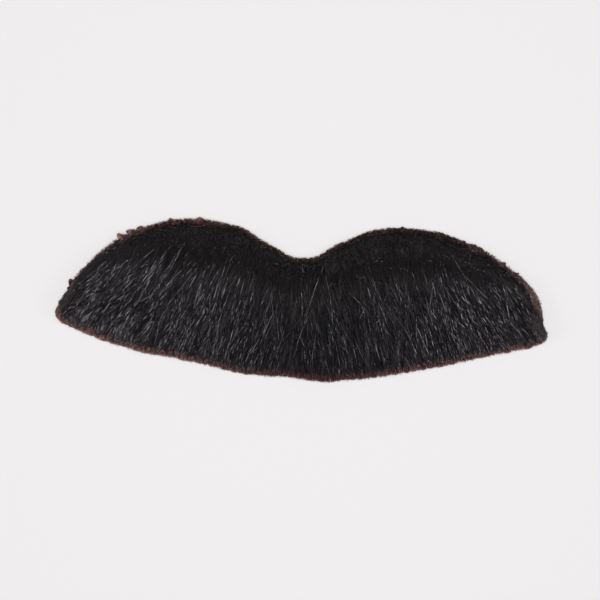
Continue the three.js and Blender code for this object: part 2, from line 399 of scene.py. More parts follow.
@dataclass
class Strands:
    """Centre lines of many strands, from root to tip, with their widths and UV columns."""

    points: np.ndarray
    radii: np.ndarray
    columns: np.ndarray
    places: tuple[float, ...]
    sides: int = 3
    column_width: float = 0.006

    def to_mesh(self, name: str) -> bpy.types.Mesh:
        """Joins the strands, each a closed tapered tube, into one mesh.

        Args:
            name: The mesh's name.

        Returns:
            A mesh with the UV map OFBake: a strand's column across, and root to tip upwards.
        """
        count, rings, _ = self.points.shape
        around = self.sides
        along = np.gradient(self.points, axis=1)
        along /= np.linalg.norm(along, axis=2, keepdims=True)
        sideways = np.cross(along, np.array([0.0, 0.0, 1.0]))
        flat = np.linalg.norm(sideways, axis=2, keepdims=True)
        sideways = np.where(flat > 0.05, sideways / np.maximum(flat, 1e-9), [1.0, 0.0, 0.0])
        sideways -= along * np.sum(sideways * along, axis=2, keepdims=True)
        sideways /= np.linalg.norm(sideways, axis=2, keepdims=True)
        upwards = np.cross(sideways, along)
        turns = 2 * math.pi * np.arange(around) / around
        spokes = (
            np.cos(turns)[None, None, :, None] * sideways[:, :, None]
            + np.sin(turns)[None, None, :, None] * upwards[:, :, None]
        )
        body = self.points[:, :-1, None] + spokes[:, :-1] * self.radii[:, :-1, None, None]
        per_strand = (rings - 1) * around + 1
        vertices = np.concatenate(
            [body.reshape(count, -1, 3), self.points[:, -1:, :]], axis=1
        ).reshape(-1, 3)

        faces, uvs = self._one_strand(1.0 - np.array(self.places))
        starts = np.arange(count)[:, None, None] * per_strand
        triangles = (starts + faces[None]).reshape(-1, 3)
        uv = np.repeat(uvs[None], count, axis=0)
        uv[..., 0] = self.columns[:, None, None] + uv[..., 0]
        return mesh_from_arrays(name, vertices, triangles, uv.reshape(-1, 2))

    def _one_strand(self, rows: np.ndarray) -> tuple[np.ndarray, np.ndarray]:
        """Lists one strand's triangles and their UV corners, before its column is added."""
        around, width = self.sides, self.column_width
        faces = []
        uvs = []
        for ring, (low, high) in enumerate(zip(rows[:-2], rows[1:-1])):
            for side in range(around):
                a = ring * around + side
                b = ring * around + (side + 1) % around
                faces += [(b, a, b + around), (a, a + around, b + around)]
                uvs += [((width, low), (0, low), (width, high))]
                uvs += [((0, low), (0, high), (width, high))]
        last = (len(rows) - 2) * around
        for side in range(around):
            faces.append((last + (side + 1) % around, last + side, last + around))
            uvs.append(((width, rows[-2]), (0, rows[-2]), (width / 2, 1.0)))
        faces.append(tuple(range(around)))
        uvs.append(((0, 0), (width, 0), (width / 2, 0.02)))
        return np.array(faces), np.array(uvs, float)


def mesh_from_arrays(
    name: str, vertices: np.ndarray, triangles: np.ndarray, uv: np.ndarray | None = None
) -> bpy.types.Mesh:
    """Makes a mesh from arrays.

    Args:
        name: The mesh's name.
        vertices: Its points, one row each.
        triangles: The points of each face, one row each.
        uv: The corners' places in the UV map OFBake, if it has one.

    Returns:
        The mesh, shaded smooth.
    """
    mesh = bpy.data.meshes.new(name)
    mesh.vertices.add(len(vertices))
    mesh.vertices.foreach_set("co", vertices.astype(np.float32).ravel())
    mesh.loops.add(triangles.size)
    mesh.loops.foreach_set("vertex_index", triangles.astype(np.int32).ravel())
    mesh.polygons.add(len(triangles))
    mesh.polygons.foreach_set("loop_start", np.arange(0, triangles.size, 3, dtype=np.int32))
    mesh.update(calc_edges=True)
    if uv is not None:
        layer = mesh.uv_layers.new(name=UV_MAP)
        layer.data.foreach_set("uv", uv.astype(np.float32).ravel())
    mesh.shade_smooth()
    mesh.validate()
    return mesh


def add_piece(name: str, mesh: bpy.types.Mesh) -> bpy.types.Object:
    """Puts a mesh in the scene as a piece that rides on the moustache.

    Args:
        name: The piece's name.
        mesh: Its mesh, in place.

    Returns:
        The piece's object, at the origin.
    """
    piece = bpy.data.objects.new(name, mesh)
    bpy.context.scene.collection.objects.link(piece)
    settle(piece)
    return piece


def settle(piece: bpy.types.Object) -> None:
    """Makes a piece ride on the moustache and logs its size."""
    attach(piece, BODY)
    log.info("%s: %d faces", piece.name, len(piece.data.polygons))


def crowded_grid(
    name: str, across: int, deep: int
) -> tuple[bpy.types.Object, np.ndarray, np.ndarray]:
    """Adds a grid whose columns crowd towards its two ends.

    Args:
        name: The piece's name.
        across: How many columns of faces it has.
        deep: How many rows of faces it has.

    Returns:
        The piece, each point's place across from -1 to 1, and its place up from 0 to 1.
    """
    deselect_all()
    bpy.ops.mesh.primitive_grid_add(x_subdivisions=across, y_subdivisions=deep, size=2.0)
    piece = bpy.context.active_object
    piece.name = piece.data.name = name
    raw = np.empty(len(piece.data.vertices) * 3)
    piece.data.vertices.foreach_get("co", raw)
    raw = raw.reshape(-1, 3)
    even, crowded = raw[:, 0], np.sin(raw[:, 0] * math.pi / 2)
    return piece, (1 - END_CROWDING) * even + END_CROWDING * crowded, 0.5 + raw[:, 1] / 2


def deselect_all() -> None:
    """Deselects every object, so that an operator acts on the new one alone."""
    for item in bpy.context.selected_objects:
        item.select_set(False)


def keep_only_in_hand(piece: bpy.types.Object) -> None:
    """Makes a piece the one selected and active object."""
    deselect_all()
    piece.select_set(True)
    bpy.context.view_layer.objects.active = piece


def apply_modifiers(piece: bpy.types.Object) -> None:
    """Applies a piece's modifiers in order."""
    keep_only_in_hand(piece)
    for name in [modifier.name for modifier in piece.modifiers]:
        bpy.ops.object.modifier_apply(modifier=name)


@dataclass(frozen=True)
class Finish:
    """A material's name and the plain numbers of its Principled shader."""

    name: str
    roughness: float = 0.5
    specular: float = 0.5
    sheen: float = 0.0
    sheen_roughness: float = 0.5

    def start(self) -> tuple[bpy.types.Material, bpy.types.NodeTree, bpy.types.Node]:
        """Makes the material with its Principled shader.

        Returns:
            The material, its node tree and the shader node.
        """
        material = bpy.data.materials.new(self.name)
        material.use_nodes = True
        tree = material.node_tree
        shader = tree.nodes["Principled BSDF"]
        shader.inputs["Roughness"].default_value = self.roughness
        shader.inputs["Specular IOR Level"].default_value = self.specular
        shader.inputs["Sheen Weight"].default_value = self.sheen
        shader.inputs["Sheen Roughness"].default_value = self.sheen_roughness
        return material, tree, shader


def ramp(
    tree: bpy.types.NodeTree,
    factor: bpy.types.NodeSocket,
    stops: Stops,
) -> bpy.types.NodeSocket:
    """Adds a colour ramp.

    Args:
        tree: The node tree it goes in.
        factor: What it reads.
        stops: Each stop's place and colour.

    Returns:
        The ramp's colour output.
    """
    node = tree.nodes.new("ShaderNodeValToRGB")
    elements = node.color_ramp.elements
    while len(elements) < len(stops):
        elements.new(1.0)
    for element, (place, colour) in zip(elements, stops):
        element.position = place
        element.color = (*colour, 1.0)
    tree.links.new(factor, node.inputs["Fac"])
    return node.outputs["Color"]


def new_group(
    name: str, inputs: dict[str, str], outputs: dict[str, str]
) -> tuple[bpy.types.NodeTree, bpy.types.Node, bpy.types.Node]:
    """Makes an empty node group with its sockets.

    Args:
        name: The group's name.
        inputs: Each input's name and its type.
        outputs: Each output's name and its type.

    Returns:
        The group, the node that its inputs come out of, and the one that its outputs go into.
    """
    group = bpy.data.node_groups.new(name, "ShaderNodeTree")
    for title, kind in inputs.items():
        group.interface.new_socket(title, in_out="INPUT", socket_type=kind)
    for title, kind in outputs.items():
        group.interface.new_socket(title, in_out="OUTPUT", socket_type=kind)
    return group, group.nodes.new("NodeGroupInput"), group.nodes.new("NodeGroupOutput")


def grain_group() -> bpy.types.NodeTree:
    """Builds once the uneven grain of the matt finishes.

    Returns:
        The group: a mask of the grain, and the normal of its relief.
    """
    if "uneven_grain" in bpy.data.node_groups:
        return bpy.data.node_groups["uneven_grain"]
    group, given, result = new_group(
        "uneven_grain",
        {"Vector": VECTOR, "Scale": VECTOR, "Detail": NUMBER, "Relief": NUMBER},
        {"Mask": NUMBER, "Normal": VECTOR},
    )
    spread = group.nodes.new("ShaderNodeMapping")
    grain = group.nodes.new("ShaderNodeTexNoise")
    grain.inputs["Scale"].default_value = 1.0
    bump = group.nodes.new("ShaderNodeBump")
    group.links.new(given.outputs["Vector"], spread.inputs["Vector"])
    group.links.new(given.outputs["Scale"], spread.inputs["Scale"])
    group.links.new(spread.outputs["Vector"], grain.inputs["Vector"])
    group.links.new(given.outputs["Detail"], grain.inputs["Detail"])
    group.links.new(given.outputs["Relief"], bump.inputs["Distance"])
    group.links.new(grain.outputs["Fac"], bump.inputs["Height"])
    group.links.new(grain.outputs["Fac"], result.inputs["Mask"])
    group.links.new(bump.outputs["Normal"], result.inputs["Normal"])
    return group


def twist_group() -> bpy.types.NodeTree:
    """Builds once the twisted fibres of the yarns.

    Returns:
        The group: the normal of the twist's relief.
    """
    if "yarn_twist" in bpy.data.node_groups:
        return bpy.data.node_groups["yarn_twist"]
    group, given, result = new_group(
        "yarn_twist",
        {"Vector": VECTOR, "Scale": NUMBER, "Unevenness": NUMBER, "Relief": NUMBER},
        {"Normal": VECTOR},
    )
    twist = group.nodes.new("ShaderNodeTexWave")
    twist.bands_direction = "DIAGONAL"
    bump = group.nodes.new("ShaderNodeBump")
    group.links.new(given.outputs["Vector"], twist.inputs["Vector"])
    group.links.new(given.outputs["Scale"], twist.inputs["Scale"])
    group.links.new(given.outputs["Unevenness"], twist.inputs["Distortion"])
    group.links.new(given.outputs["Relief"], bump.inputs["Distance"])
    group.links.new(twist.outputs["Fac"], bump.inputs["Height"])
    group.links.new(bump.outputs["Normal"], result.inputs["Normal"])
    return group


def place_group(
    tree: bpy.types.NodeTree,
    group: bpy.types.NodeTree,
    values: dict[str, float | tuple[float, float, float]],
) -> bpy.types.Node:
    """Places a group in a material, on Object coordinates.

    Args:
        tree: The material's node tree.
        group: The group.
        values: The material's own values for its inputs.

    Returns:
        The group's node.
    """
    place = tree.nodes.new("ShaderNodeTexCoord")
    node = tree.nodes.new("ShaderNodeGroup")
    node.node_tree = group
    tree.links.new(place.outputs["Object"], node.inputs["Vector"])
    for title, value in values.items():
        node.inputs[title].default_value = value
    return node


@dataclass(frozen=True)
class HairFinish(Finish):
    """Glossy near-black synthetic fibre, its cut ends painted brown for the light that shines
    through them.

    Each tint's column has a dull colour and a paler painted-glint colour, mixed along the strand by
    noise as painted highlights, and one at its tip.
    """

    name: str = "black_fibre"
    roughness: float = 0.42
    specular: float = 0.15
    brown_from: float = 0.875
    # The glint fields shape the noise that places the painted highlights along the strands.
    glint_columns: float = 160.0
    glint_rows: float = 4.5
    glint_detail: float = 2.5
    glint_band: tuple[float, float] = (0.42, 0.66)
    # Dull colours. The bands from 0.35 to 0.45 are painted lighter: painted light against shade near
    # the crown, then dim painted glints.
    dull: Stops = (
        (0.0, (0.0058, 0.0050, 0.0061)),
        (0.20, (0.0075, 0.0066, 0.0080)),
        (0.35, (0.0109, 0.0096, 0.0117)),
        (0.36, (0.0150, 0.0131, 0.0140)),
        (0.39, (0.0270, 0.0240, 0.0253)),
        (0.41, (0.0310, 0.0276, 0.0290)),
        (0.45, (0.0410, 0.0365, 0.0385)),
        (0.46, (0.010, 0.0089, 0.0106)),
        (0.65, (0.015, 0.0134, 0.0162)),
        (0.66, (0.018, 0.0128, 0.0130)),
        (0.74, (0.018, 0.0128, 0.0130)),
        (0.77, (0.024, 0.0200, 0.0212)),
        (0.87, (0.026, 0.0210, 0.0220)),
        (0.89, (0.024, 0.0105, 0.0090)),
        (0.96, (0.150, 0.088, 0.082)),
        (1.00, (0.17, 0.070, 0.038)),
    )
    # Painted highlights: the paler colour that the glint noise mixes in along each strand.
    painted_glint: Stops = (
        (0.0, (0.0080, 0.0071, 0.0086)),
        (0.35, (0.0160, 0.0142, 0.0177)),
        (0.36, (0.0195, 0.0173, 0.0187)),
        (0.39, (0.036, 0.0320, 0.0340)),
        (0.41, (0.044, 0.0392, 0.0422)),
        (0.45, (0.060, 0.0535, 0.0585)),
        (0.46, (0.09, 0.080, 0.092)),
        (0.58, (0.255, 0.233, 0.268)),
        (0.65, (0.38, 0.350, 0.392)),
        (0.66, (0.055, 0.0400, 0.0435)),
        (0.74, (0.055, 0.0400, 0.0435)),
        (0.77, (0.080, 0.0680, 0.0740)),
        (0.87, (0.090, 0.0750, 0.0810)),
        (0.89, (0.060, 0.0260, 0.0230)),
        (0.93, (0.170, 0.0900, 0.0820)),
        (0.96, (0.44, 0.275, 0.250)),
        (1.00, (0.44, 0.200, 0.110)),
    )
    # Tip colours; the brown ones are painted light shining through the cut ends.
    tips: Stops = (
        (0.0, (0.0063, 0.0056, 0.0066)),
        (0.30, (0.0118, 0.0103, 0.0125)),
        (0.36, (0.0150, 0.0133, 0.0140)),
        (0.45, (0.0410, 0.0365, 0.0385)),
        (0.65, (0.05, 0.044, 0.052)),
        (0.67, (0.20, 0.050, 0.048)),
        (0.75, (0.31, 0.088, 0.084)),
        (0.78, (0.40, 0.165, 0.156)),
        (0.82, (0.60, 0.265, 0.230)),
        (0.88, (0.90, 0.430, 0.315)),
        (0.89, (0.10, 0.045, 0.040)),
        (0.93, (0.24, 0.125, 0.112)),
        (0.96, (0.48, 0.300, 0.272)),
        (0.97, (0.50, 0.240, 0.130)),
    )

    def build(self) -> bpy.types.Material:
        """Makes the material, whose colour depends on the strands' own UV map alone.

        Returns:
            The material.
        """
        material, tree, shader = self.start()
        place = tree.nodes.new("ShaderNodeUVMap")
        place.uv_map = UV_MAP
        split = tree.nodes.new("ShaderNodeSeparateXYZ")
        tree.links.new(place.outputs["UV"], split.inputs["Vector"])
        column, reach = split.outputs["X"], split.outputs["Y"]
        dull = ramp(tree, column, self.dull)
        painted_glint = ramp(tree, column, self.painted_glint)
        # Noise that places the painted highlights along the strands.
        glints = tree.nodes.new("ShaderNodeTexNoise")
        glints.noise_dimensions = "2D"
        glints.inputs["Scale"].default_value = 1.0
        glints.inputs["Detail"].default_value = self.glint_detail
        spread = tree.nodes.new("ShaderNodeMapping")
        spread.inputs["Scale"].default_value = (self.glint_columns, self.glint_rows, 1.0)
        tree.links.new(place.outputs["UV"], spread.inputs["Vector"])
        tree.links.new(spread.outputs["Vector"], glints.inputs["Vector"])
        shine = self._range(tree, glints.outputs["Fac"], *self.glint_band)
        body = self._mix(tree, shine, dull, painted_glint)
        tips = ramp(tree, column, self.tips)
        colour = self._mix(tree, self._range(tree, reach, self.brown_from, 1.0), body, tips)
        tree.links.new(colour, shader.inputs["Base Color"])
        return material

    @staticmethod
    def _range(
        tree: bpy.types.NodeTree, value: bpy.types.NodeSocket, low: float, high: float
    ) -> bpy.types.NodeSocket:
        """Adds a smooth step from low to high, and returns its output."""
        node = tree.nodes.new("ShaderNodeMapRange")
        node.interpolation_type = "SMOOTHSTEP"
        node.inputs["From Min"].default_value = low
        node.inputs["From Max"].default_value = high
        tree.links.new(value, node.inputs["Value"])
        return node.outputs["Result"]

    @staticmethod
    def _mix(
        tree: bpy.types.NodeTree,
        factor: bpy.types.NodeSocket,
        first: bpy.types.NodeSocket,
        second: bpy.types.NodeSocket,
    ) -> bpy.types.NodeSocket:
        """Adds a mix of two colours, and returns its output."""
        node = tree.nodes.new("ShaderNodeMix")
        node.data_type = "RGBA"
        tree.links.new(factor, node.inputs["Factor"])
        tree.links.new(first, node.inputs[6])
        tree.links.new(second, node.inputs[7])
        return node.outputs[2]


@dataclass(frozen=True)
class Hair:
    """One kind of hair. Lengths and radii are in millimetres, and angles in degrees.

    Lay is a strand's angle above the pile at its tip, and a stray hair's at most. Rise is how
    much steeper it stands at its root. The spreads say how much the lean and the bend vary, and
    blunt is the tip's share of the radius.
    """

    count: int
    length: tuple[float, float]
    radius: tuple[float, float]
    lay: float
    rise: float
    lean_spread: float
    bend_spread: float
    blunt: float = 0.4


LYING = Hair(7600, (6.0, 10.0), (0.105, 0.14), 5, 38, 7, 8)
HEM = Hair(6000, (5, 8), (0.065, 0.095), 1, 12, 7, 8, 0.9)
UPRIGHT = Hair(8400, (0.8, 4.5), (0.08, 0.11), 50, 45, 60, 25, 0.8)
LONG_STRAY = Hair(190, (8, 14), (0.06, 0.085), 8, 10, 9, 14)
SHORT_STRAY_LENGTH = (2.5, 5)
SHORT_STRAY_SPREAD = 20
LEAST_STRAY_LAY = -2

Mix = tuple[tuple[Tint, float], ...]
# The paler tints of the lit, speck and stray mixes are painted highlights; the third tint of the
# dark mix is dim painted glints.
DARK_AND_DIM_GLINT_MIX: Mix = ((Tint.BLACK, 0.34), (Tint.DARK, 0.38), (Tint.SOOT, 0.28))
LIT_MIX: Mix = ((Tint.GREY, 0.65), (Tint.PALE, 0.35))
HEM_MIX: Mix = ((Tint.BLACK, 0.6), (Tint.DARK, 0.4))
SPECK_MIX: Mix = ((Tint.DARK, 0.5), (Tint.GREY, 0.4), (Tint.PALE, 0.1))
STRAY_MIX: Mix = ((Tint.PALE, 0.35), (Tint.GREY, 0.4), (Tint.DARK, 0.25))
MAROON_COLUMNS = (0.885, 0.915)
RUSSET_COLUMNS = (0.955, 0.988)
NEARLY_ONE = 0.9999
COLUMN_MARGIN = 0.004
COLUMN_SLACK = 0.014


@dataclass
class Coat:
    """The fur's strands, grown on the form in clumps.

    Lit strands are those given paler tints as painted highlights, where the light would catch them.
    Bands, scatters and ranges without a unit of their own are in millimetres, and shares run from 0
    to 1.
    """

    form: Form
    finish: bpy.types.Material
    places: tuple[float, ...] = (1.0, 0.68, 0.36, 0.06, 0.0)
    clump_count: int = 1700
    clump_stretch: float = 0.3
    clump_width: float = 1.1 * MM
    tufts: int = 60
    end_on_depth: float = 4.2 * MM
    end_on_width: float = 2.6 * MM
    # How much the crown hair is painted lighter where it stands end on, as painted light against
    # shade.
    end_on_painted_light: float = 0.35
    coal_painted_light_spread: float = 0.2
    slope_reach: float = 0.8 * MM
    steepest: float = math.radians(89)
    floor_clearance: float = 0.1 * MM
    rise_power: float = 1.3
    surface_lift: float = 0.3 * MM
    lit_depth: float = 0.3
    dark_depth: float = 1.5
    clump_fall: float = 0.8 * MM
    ruffled_from: float = 0.45
    ruffled_gain: float = 1.8
    lay_spread: float = 0.07
    upright_lay_spread: float = 0.3
    upright_from: float = 0.62
    flat_under: float = 0.35
    rise_loss: float = 0.6
    length_loss: float = 0.4
    lit_crown_share: float = 0.75
    least_lit: float = 1.0 * MM
    least_pale: float = 0.12
    warm_loss: float = 0.22
    clump_pull: float = 0.38
    clump_pull_at_hem: float = 0.2
    clump_turn: float = math.radians(5.5)
    clump_lift: float = 0.3 * MM
    shine_fade: float = 0.22
    least_shine: float = 0.08
    hem_shine: float = 0.55
    hem_shine_band: float = 0.25
    warm_spread: float = 0.02
    crown_blend: float = 0.2
    speck_share: float = 0.06
    maroon_share: float = 0.75
    least_maroon_rim: float = 0.25 * MM
    hem_share: float = 0.3
    lit_share: float = 0.155
    lit_gain: float = 0.05 * MM
    upright_lay: float = math.radians(38)
    hem_lay: float = math.radians(9)
    edge_depth: float = 1.0 * MM
    end_depth: float = 1.3 * MM
    warm_share: float = 0.9
    end_share: float = 0.12
    tuft_width: tuple[float, float] = (1.0, 3.6)
    tuft_drop: float = 0.38 * MM
    hem_reach: float = 0.35 * MM
    hem_scatter: float = 0.9 * MM
    end_scatter: float = 0.5 * MM
    hem_band: tuple[float, float] = (-0.4, 3.0)
    lit_hem_band: tuple[float, float] = (-0.2, 0.7)
    tuft_round: float = 0.22 * MM
    russet_length: tuple[float, float] = (1.2, 2.2)
    maroon_depth: float = 1.3 * MM
    long_share: float = 0.45
    rng: np.random.Generator = field(default_factory=lambda: np.random.default_rng(SEED))

    def __post_init__(self) -> None:
        """Scatters the clumps that the strands gather in."""
        x, y = self._scatter(self.clump_count)
        self.clump_line = self.form.line(x, y)
        self.clump_lean = self.rng.normal(0, self.clump_turn, self.clump_count)
        self.clump_height = self.rng.normal(0, self.clump_lift, self.clump_count)
        # How many painted highlights each clump's strands get.
        self.clump_light = self.rng.random(self.clump_count)
        self.tree = KDTree(self.clump_count)
        for index, (line, cy) in enumerate(zip(self.clump_line, y)):
            self.tree.insert((line, cy * self.clump_stretch, 0.0), index)
        self.tree.balance()

    def _scatter(self, count: int, side: Side | None = None) -> tuple[np.ndarray, np.ndarray]:
        """Scatters points evenly over the outline, or over one part of its span."""
        low, high = side.value if side else (-1.0, 1.0)
        kept = np.empty(0)
        while len(kept) < count:
            x = self.rng.uniform(low, high, 2 * count) * self.form.half_span * 0.998
            tall = (self.form.crown(x) - self.form.hem(x)) / self.form.height
            kept = np.concatenate([kept, x[self.rng.random(len(x)) < tall]])
        x = kept[:count]
        up = self.rng.random(count)
        hem = self.form.hem(x)
        return x, hem + up * (self.form.crown(x) - hem)

    def _nearest(self, line: np.ndarray, y: np.ndarray) -> np.ndarray:
        """Returns each point's clump."""
        stretch = self.clump_stretch
        return np.array([self.tree.find((p, q * stretch, 0.0))[1] for p, q in zip(line, y)])

    def _shine(self, x: np.ndarray, y: np.ndarray) -> np.ndarray:
        """Returns the share of the hair given paler tints as painted highlights, from 0 to 1 over
        the form.
        """
        up = self.form.up(x, y)
        fade = (self.form.at(x, "lying") - up) / self.shine_fade + 0.5
        low = np.clip(1.0 - up / self.hem_shine_band, 0.0, 1.0)
        fade = np.clip(fade, self.least_shine, 1.0)
        return self.form.at(x, "shine") * fade * (1.0 + self.hem_shine * low)

    def _warm(self, x: np.ndarray) -> np.ndarray:
        """Returns the UV columns of hair whose tips are painted brown for the light through them,
        for each place along the hem.
        """
        low, high = Tint.BROWN_TIP.value
        warmth = self.form.at(x, "warmth") + self.rng.normal(0, self.warm_spread, len(x))
        return np.clip(warmth, low + 0.01, high - 0.01)

    def _columns(self, share: np.ndarray, tints: Mix) -> np.ndarray:
        """Gives each strand a UV column from the tints, which each have a share of them."""
        columns = np.zeros(len(share))
        start = 0.0
        for tint, part in tints:
            chosen = (share >= start) & (share < start + part + 1e-9)
            low, high = tint.value
            spread = (share[chosen] - start) / part
            columns[chosen] = low + COLUMN_MARGIN + spread * (high - low - COLUMN_SLACK)
            start += part
        return columns

    def _coal_painted_lighter(self, x: np.ndarray, y: np.ndarray) -> np.ndarray:
        """Returns the UV columns of dull hair near the crown, painted lighter where it stands end
        on, as painted light against the shade among the strands.
        """
        depth = self.form.crown(x) - y
        end_on = np.exp(-(((depth - self.end_on_depth) / self.end_on_width) ** 2))
        share = self.end_on_painted_light * end_on + self.coal_painted_light_spread * self.rng.random(len(x))
        return self._columns(share, ((Tint.COAL, 1.0),))

    def grow(
        self,
        tips: np.ndarray,
        lean: np.ndarray,
        lay: np.ndarray,
        rise: np.ndarray,
        length: np.ndarray,
        radius: np.ndarray,
        columns: np.ndarray,
        bend: np.ndarray,
        blunt: float,
    ) -> Strands:
        """Grows strands backwards from their tips into the pile.

        Args:
            tips: Each strand's tip.
            lean: Its turn outwards from straight down, in radians.
            lay: Its angle above the pile's surface at the tip, in radians.
            rise: How much steeper it stands at its root, in radians.
            length: Its length.
            radius: Its radius in the middle.
            columns: Its UV column.
            bend: How much it turns sideways from root to tip, in radians.
            blunt: The tip's share of the radius before its last point.

        Returns:
            The strands that stay inside the outline.
        """
        form = self.form
        delta = self.slope_reach
        way = np.stack([np.sin(lean), -np.cos(lean)], axis=1)
        ahead = form.top(tips[:, 0] + way[:, 0] * delta, tips[:, 1] + way[:, 1] * delta)
        behind = form.top(tips[:, 0] - way[:, 0] * delta, tips[:, 1] - way[:, 1] * delta)
        slope = np.arctan((ahead - behind) / (2 * delta))
        rings = len(self.places)
        points = np.empty((len(tips), rings, 3))
        points[:, -1] = tips
        for ring in range(rings - 2, -1, -1):
            back = (self.places[ring] + self.places[ring + 1]) / 2
            step = (self.places[ring] - self.places[ring + 1]) * length
            tilt = np.minimum(slope + lay + rise * back**self.rise_power, self.steepest)
            turn = lean + bend * back
            along = np.stack(
                [np.sin(turn) * np.cos(tilt), -np.cos(turn) * np.cos(tilt), np.sin(tilt)],
                axis=1,
            )
            points[:, ring] = points[:, ring + 1] - along * step[:, None]
        points[:, :, 2] = np.maximum(points[:, :, 2], form.floor_gap + self.floor_clearance)
        profile = np.interp(1 - np.array(self.places), [0, 0.3, 0.75, 1], [0.8, 1, 0.85, blunt])
        inside = form.holds(points[:, :, 0], points[:, :, 1]).all(axis=1)
        radii = radius[inside, None] * profile[None]
        return Strands(points[inside], radii, columns[inside], self.places)

    def lying(self, side: Side) -> bpy.types.Object:
        """Grows the main coat over one part of the span.

        Args:
            side: The part of the span.

        Returns:
            The piece.
        """
        form, rng, count = self.form, self.rng, LYING.count
        x, y = self._scatter(count, side)
        at_hem = rng.random(count) < self.hem_share
        y = np.where(at_hem, form.hem(x) + rng.uniform(*self.hem_band, count) * MM, y)
        line = form.line(x, y)
        clump = self._nearest(line, y)
        off = line - self.clump_line[clump]
        x = x - off * np.where(at_hem, self.clump_pull_at_hem, self.clump_pull)
        up = form.up(x, y)
        # A share of the strands, more in some clumps, take paler tints as painted highlights.
        clump_shine = 0.5 + 1.5 * self.clump_light[clump] ** 2
        lit = rng.random(count) < self.lit_share * self._shine(x, y) * clump_shine
        lowest_lit = form.hem(x) + rng.uniform(*self.lit_hem_band, count) * MM
        y = np.where(lit, np.maximum(y, lowest_lit), y)
        depth = rng.random(count) ** 1.3 * np.where(lit, self.lit_depth, self.dark_depth) * MM
        fall = np.minimum(np.abs(off) / self.clump_width, 1.0) ** 2 * self.clump_fall
        z = form.top(x, y) + self.surface_lift + self.clump_height[clump] - depth - fall
        left = np.clip(-x / form.half_span - self.ruffled_from, 0, 0.5)
        ruffled = 1 + left * self.ruffled_gain
        ruffled = math.radians(LYING.lean_spread) * ruffled
        lean = form.lean(x, y) + self.clump_lean[clump] + rng.normal(0, 1, count) * ruffled
        laid = np.maximum(form.at(x, "lying"), self.upright_from)
        upright = np.clip((up - laid + 0.1) / 0.3, 0, 1)
        flat = np.clip((self.flat_under - up) / self.flat_under, 0, 1)
        lay = math.radians(LYING.lay) + upright * self.upright_lay + flat * self.hem_lay
        lay = lay + rng.normal(0, self.lay_spread, count)
        rise = math.radians(LYING.rise) * (1 - self.rise_loss * upright)
        length = rng.uniform(*LYING.length, count) * MM * (1 - self.length_loss * upright)
        longest = (form.crown(x) - y) * self.lit_crown_share + self.least_lit
        length = np.where(lit, np.minimum(length, longest), length)
        radius = rng.uniform(*LYING.radius, count) * MM + lit * self.lit_gain
        # The other strands take dark tints, a share of them dim painted glints.
        dark = self._columns(rng.random(count), DARK_AND_DIM_GLINT_MIX)
        share = rng.random(count) ** (1.0 / (self.least_pale + form.at(x, "shine")))
        pale = self._columns(np.minimum(share, NEARLY_ONE), LIT_MIX)
        near_crown = np.clip((up - form.at(x, "lying")) / self.crown_blend + 0.5, 0, 1)
        # Hair near the crown takes the tint painted lighter against shade.
        dark = np.where(rng.random(count) < near_crown, self._coal_painted_lighter(x, y), dark)
        columns = np.where(lit, pale, dark)
        at_end = form.half_span - np.abs(x) < self.end_depth
        edge = (y - form.hem(x) < self.edge_depth) | at_end
        # Strands at the hem and the ends get tips painted brown for the light through them.
        warm_share = self.warm_share - self.warm_loss * np.minimum(form.at(x, "shine"), 1.0)
        warm = edge & ~lit & (rng.random(count) < warm_share)
        columns = np.where(warm, self._warm(x), columns)
        name = f"lying_hair_{side.name.lower()}"
        tips = np.stack([x, y, z], 1)
        return self._piece(name, LYING, tips, lean, lay, rise, length, radius, columns)

    def hem(self) -> bpy.types.Object:
        """Grows the uneven row of cut ends along the hem and round the blunt ends."""
        form, rng, count = self.form, self.rng, HEM.count
        x = rng.uniform(-1, 1, count) * form.half_span
        at_end = rng.random(count) < self.end_share
        gaps = rng.uniform(*self.tuft_width, self.tufts) * MM
        bounds = np.cumsum(gaps) - form.half_span
        index = np.minimum(np.searchsorted(bounds, x), self.tufts - 1)
        tuft_drop = rng.random(self.tufts) ** 1.4 * self.tuft_drop
        along = np.abs(x - bounds[index] + gaps[index] / 2) / gaps[index] * 2
        x = np.where(at_end, np.sign(x) * (form.half_span - rng.random(count) * self.end_scatter), x)
        hem = form.hem(x)
        y = hem - self.hem_reach + tuft_drop[index] + along**2 * self.tuft_round
        y = y + rng.random(count) ** 3 * self.hem_scatter
        y = np.where(at_end, hem + rng.random(count) * (form.crown(x) - hem), y)
        level = rng.random(count)
        low = form.floor_gap + 0.15 * MM
        high = form.top(x, y) + 0.1 * MM
        z = low + level * (high - low)
        lean = form.lean(x, y) + rng.normal(0, math.radians(HEM.lean_spread), count)
        lay = math.radians(HEM.lay) + (1 - level) * math.radians(14)
        rise = np.full(count, math.radians(HEM.rise))
        length = rng.uniform(*HEM.length, count) * MM
        radius = rng.uniform(*HEM.radius, count) * MM
        # Hem strands, more so the higher ones, get tips painted brown for the light through them.
        warm = self._warm(x)
        dark = self._columns(rng.random(count), HEM_MIX)
        columns = np.where(rng.random(count) < 0.3 + 0.6 * level + at_end, warm, dark)
        # Short russet strands at the left end add to the brown painted at the cut ends.
        russet = rng.random(count) < 0.7 * np.clip((-x / form.half_span - 0.65) / 0.3, 0, 1)
        columns = np.where(russet, rng.uniform(*RUSSET_COLUMNS, count), columns)
        length = np.where(russet, rng.uniform(*self.russet_length, count) * MM, length)
        tips = np.stack([x, y, z], 1)
        return self._piece("hem_hair", HEM, tips, lean, lay, rise, length, radius, columns)

